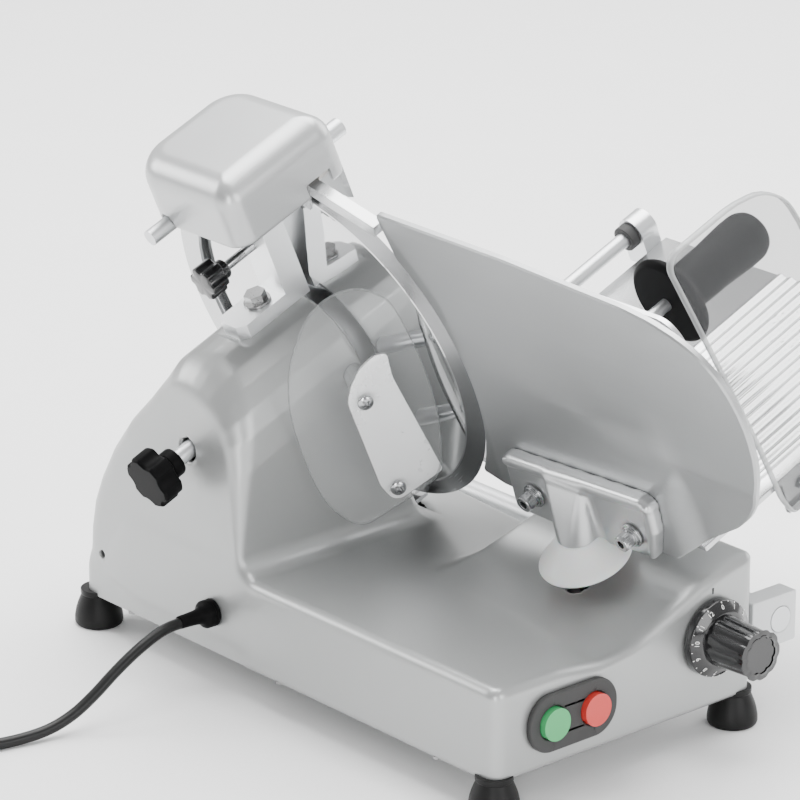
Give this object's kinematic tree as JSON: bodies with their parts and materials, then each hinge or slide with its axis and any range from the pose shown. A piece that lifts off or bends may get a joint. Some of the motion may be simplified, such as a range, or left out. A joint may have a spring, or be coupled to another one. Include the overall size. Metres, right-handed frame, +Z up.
{
  "type": "food slicer",
  "caption": "Electric gravity-feed food slicer: leaning round blade on a cast base, thickness gauge with dial, top sharpener, sliding ribbed tray with hand guard and pusher.",
  "frame": {"origin": "middle of the footprint, without the mains lead, on the surface the feet stand on", "axes": "+Z up, +X along the carriage travel towards the dial end, +Y towards the food side"},
  "size_m": [0.505, 0.6425, 0.357],
  "materials": {
    "cast_paint": "satin silver paint over cast aluminium",
    "cover_paint": "satin light silver paint",
    "satin_aluminium": "satin anodised",
    "bright_aluminium": "bright polished",
    "tray_aluminium": "satin, ribbed",
    "blade_steel": "polished hardened steel",
    "steel": "turned steel",
    "black_plastic": "moulded black",
    "gloss_black": "glossy black",
    "white_plastic": "translucent white",
    "rubber": "moulded rubber",
    "clear": "clear acrylic",
    "smoke": "grey tinted acrylic",
    "motor_paint": "dark enamel",
    "stone_red": "bonded abrasive",
    "stone_grey": "bonded abrasive",
    "green_plastic": "moulded",
    "red_plastic": "moulded"
  },
  "bodies": {
    "frame": {"base_casting": "cast_paint", "bottom_plate": "satin_aluminium", "bottom_plate_screws": "steel", "rubber_feet": "rubber", "drive_plate": "steel", "drive_bolts": "steel", "blade_axle": "steel", "motor_body": "motor_paint", "drive_belt": "rubber", "ring_guard": "bright_aluminium", "blade_cover": "bright_aluminium", "deflector_plate": "bright_aluminium", "deflector_shield": "clear", "deflector_posts": "satin_aluminium", "deflector_screws": "steel", "sharpener_bracket": "bright_aluminium", "bracket_bolt": "steel", "gauge_guide_rods": "steel", "slide_rod": "steel", "rod_holders": "cast_paint", "cable_gland": "black_plastic", "switch_bezel": "black_plastic", "power_cord": "rubber", "cord_coil": "rubber", "mains_plug": "black_plastic"},
    "blade_unit": {"blade": "blade_steel", "blade_pulley": "satin_aluminium", "blade_bearings": "steel", "blade_screws": "steel"},
    "motor_rotor": {"motor_shaft": "steel", "motor_pulley": "satin_aluminium"},
    "lock": {"lock_knob": "black_plastic", "tie_rod": "steel"},
    "gauge": {"gauge_plate": "satin_aluminium", "gauge_bracket": "cast_paint", "gauge_bolts": "steel", "gauge_skirt": "white_plastic", "gauge_slider": "satin_aluminium"},
    "dial": {"thickness_dial": "gloss_black", "dial_shaft": "steel"},
    "sharpener": {"sharpener_cover": "cover_paint", "sharpener_body": "satin_aluminium"},
    "clamp_knob": {"sharpener_knob": "black_plastic"},
    "grinder": {"grinding_pin": "steel", "grinding_stone": "stone_red"},
    "deburrer": {"deburring_pin": "steel", "deburring_stone": "stone_grey"},
    "carriage": {"food_tray": "tray_aluminium", "hand_guard": "smoke", "guard_screws": "steel", "carriage_arm": "cast_paint", "pusher_rod": "steel", "rod_end_blocks": "satin_aluminium", "rod_bushes": "black_plastic"},
    "pusher_slider": {"pusher_bush": "black_plastic"},
    "pusher": {"pusher_arm": "satin_aluminium", "pusher_plate": "tray_aluminium", "pusher_handle": "black_plastic"},
    "start": {"start_button": "green_plastic"},
    "stop": {"stop_button": "red_plastic"}
  },
  "joints": [
    {"name": "blade_spin", "type": "hinge", "parent": "frame", "child": "blade_unit", "pos_m": [-0.123, -0.0462, 0.197], "axis": [0, 0.9198, 0.3923], "continuous": true},
    {"name": "motor_spin", "type": "hinge", "parent": "frame", "child": "motor_rotor", "pos_m": [-0.159, -0.07314, 0.10723], "axis": [0, 0.9198, 0.3923], "continuous": true},
    {"name": "lock_turn", "type": "hinge", "parent": "frame", "child": "lock", "pos_m": [-0.123, -0.18417, 0.13815], "axis": [0, 0.9198, 0.3923], "continuous": true},
    {"name": "gauge_slide", "type": "slide", "parent": "frame", "child": "gauge", "axis": [0, -0.9198, -0.3923], "range_m": [0, 0.012]},
    {"name": "dial_turn", "type": "hinge", "parent": "frame", "child": "dial", "pos_m": [0.167, 0.0058, 0.067], "axis": [1, 0, 0], "range_deg": [0, 332]},
    {"name": "sharpener_lift", "type": "slide", "parent": "frame", "child": "sharpener", "axis": [0, -0.3923, 0.9198], "range_m": [0, 0.03]},
    {"name": "clamp_turn", "type": "hinge", "parent": "frame", "child": "clamp_knob", "pos_m": [-0.127, -0.14433, 0.24864], "axis": [0, 0.9198, 0.3923], "continuous": true},
    {"name": "grind_push", "type": "slide", "parent": "sharpener", "child": "grinder", "axis": [0, 0.9198, 0.3923], "range_m": [0, 0.002], "stiffness_N_per_m": 400},
    {"name": "deburr_push", "type": "slide", "parent": "sharpener", "child": "deburrer", "axis": [0, -0.9198, -0.3923], "range_m": [0, 0.002], "stiffness_N_per_m": 400},
    {"name": "carriage_slide", "type": "slide", "parent": "frame", "child": "carriage", "axis": [1, 0, 0], "range_m": [-0.17, 0.04]},
    {"name": "pusher_slide", "type": "slide", "parent": "carriage", "child": "pusher_slider", "axis": [0, 0.9198, 0.3923], "range_m": [-0.018, 0.09]},
    {"name": "pusher_swing", "type": "hinge", "parent": "pusher_slider", "child": "pusher", "pos_m": [-0.095, 0.05407, 0.16584], "axis": [0, -0.9198, -0.3923], "range_deg": [0, 95]},
    {"name": "start_press", "type": "slide", "parent": "frame", "child": "start", "axis": [-1, 0, 0], "range_m": [0, 0.003], "stiffness_N_per_m": 500},
    {"name": "stop_press", "type": "slide", "parent": "frame", "child": "stop", "axis": [-1, 0, 0], "range_m": [0, 0.003], "stiffness_N_per_m": 500}
  ],
  "couplings": [
    {"joint": "motor_spin", "follows": "blade_spin", "ratio": 3.6},
    {"joint": "dial_turn", "follows": "gauge_slide", "rad_per_m": 482.87}
  ]
}
